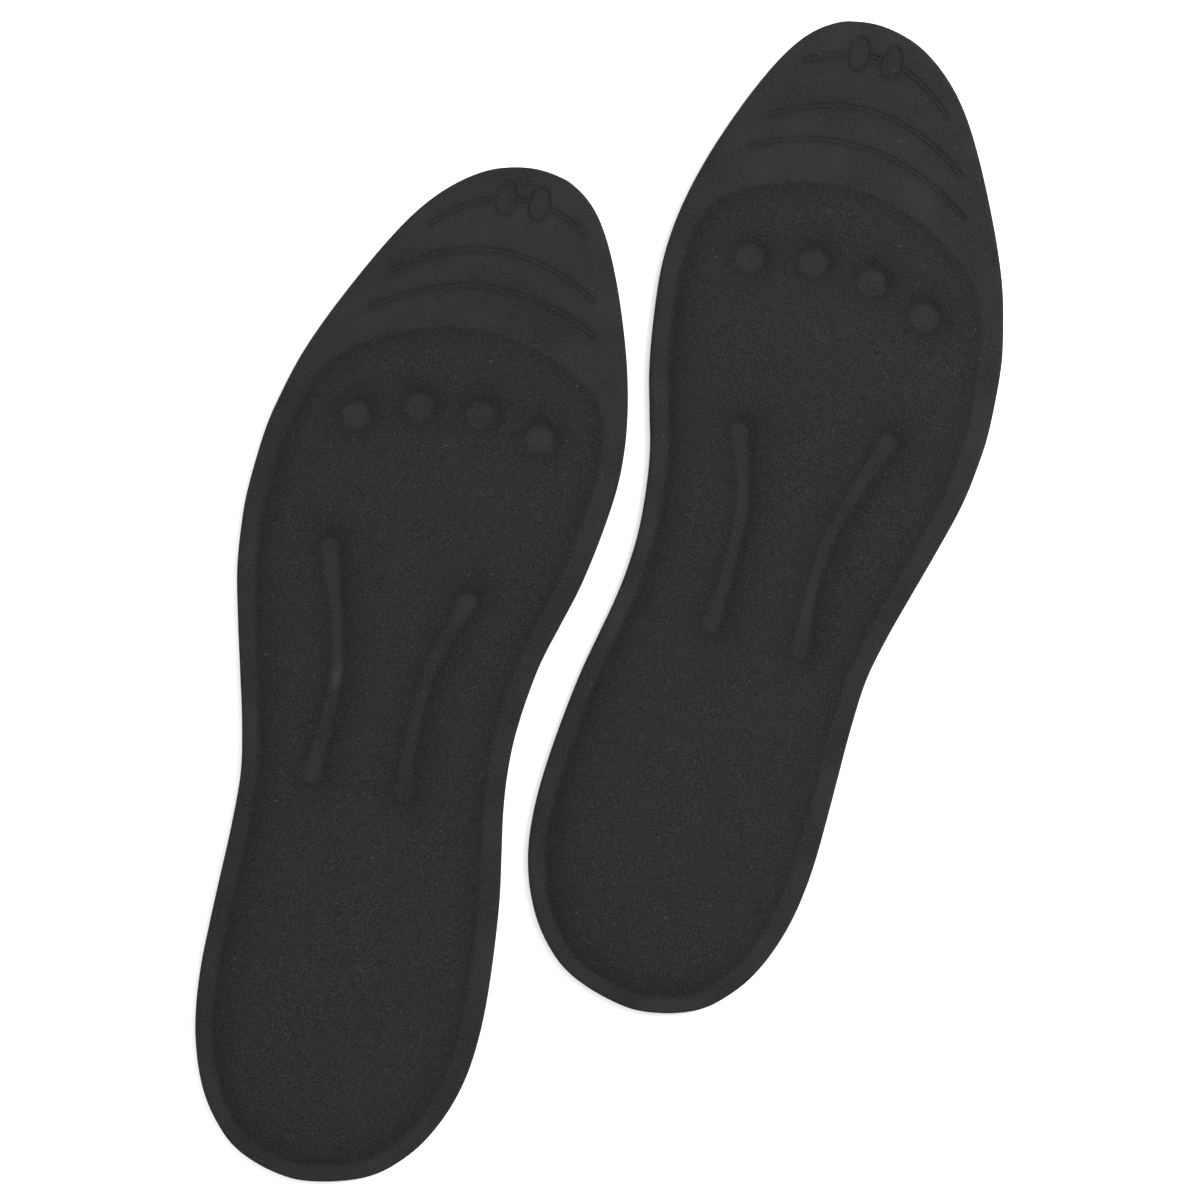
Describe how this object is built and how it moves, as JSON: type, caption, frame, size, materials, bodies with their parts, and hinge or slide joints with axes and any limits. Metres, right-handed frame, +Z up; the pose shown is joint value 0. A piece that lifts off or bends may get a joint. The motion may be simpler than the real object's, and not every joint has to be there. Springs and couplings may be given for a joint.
{
  "type": "cushioned insole pair",
  "caption": "Left and right trim-to-fit cushioned insoles: a liquid-filled chamber from heel to ball, welded into a flat fabric-covered rim and toe zone.",
  "frame": {"origin": "middle of the pair's footprint, on the surface the insoles lie on", "axes": "+Y towards the toes, +X from the left insole to the right one, +Z up through the insoles towards the foot; each insole leans a few degrees clockwise from +Y as laid out"},
  "size_m": [0.222, 0.3224, 0.0061],
  "materials": {
    "top_cover": "brushed napped fabric, pressed smoother at the welds",
    "film": "satin flexible film",
    "liquid": "clear thick liquid",
    "base_cover": "fine knitted non-slip backing"
  },
  "bodies": {
    "left_heel": {"left_heel_base_cover": "base_cover", "left_heel_lower_film": "film", "left_heel_liquid": "liquid", "left_heel_upper_film": "film", "left_heel_top_cover": "top_cover"},
    "left_forefoot": {"left_forefoot_base_cover": "base_cover", "left_forefoot_lower_film": "film", "left_forefoot_liquid": "liquid", "left_forefoot_upper_film": "film", "left_forefoot_top_cover": "top_cover"},
    "right_heel": {"right_heel_base_cover": "base_cover", "right_heel_lower_film": "film", "right_heel_liquid": "liquid", "right_heel_upper_film": "film", "right_heel_top_cover": "top_cover"},
    "right_forefoot": {"right_forefoot_base_cover": "base_cover", "right_forefoot_lower_film": "film", "right_forefoot_liquid": "liquid", "right_forefoot_upper_film": "film", "right_forefoot_top_cover": "top_cover"}
  },
  "joints": [
    {"name": "left_flex", "type": "hinge", "parent": "left_heel", "child": "left_forefoot", "pos_m": [-0.04729, 0.02322, 0.0061], "axis": [0.9806, -0.1959, 0], "range_deg": [0, 50], "stiffness_Nm_per_rad": 0.04},
    {"name": "right_flex", "type": "hinge", "parent": "right_heel", "child": "right_forefoot", "pos_m": [0.05822, 0.0639, 0.0061], "axis": [0.9622, -0.2723, 0], "range_deg": [0, 50], "stiffness_Nm_per_rad": 0.04},
    {"name": "pair_slide", "type": "slide", "parent": "left_heel", "child": "right_heel", "axis": [1, 0, 0], "range_m": [0, 0.1]}
  ]
}
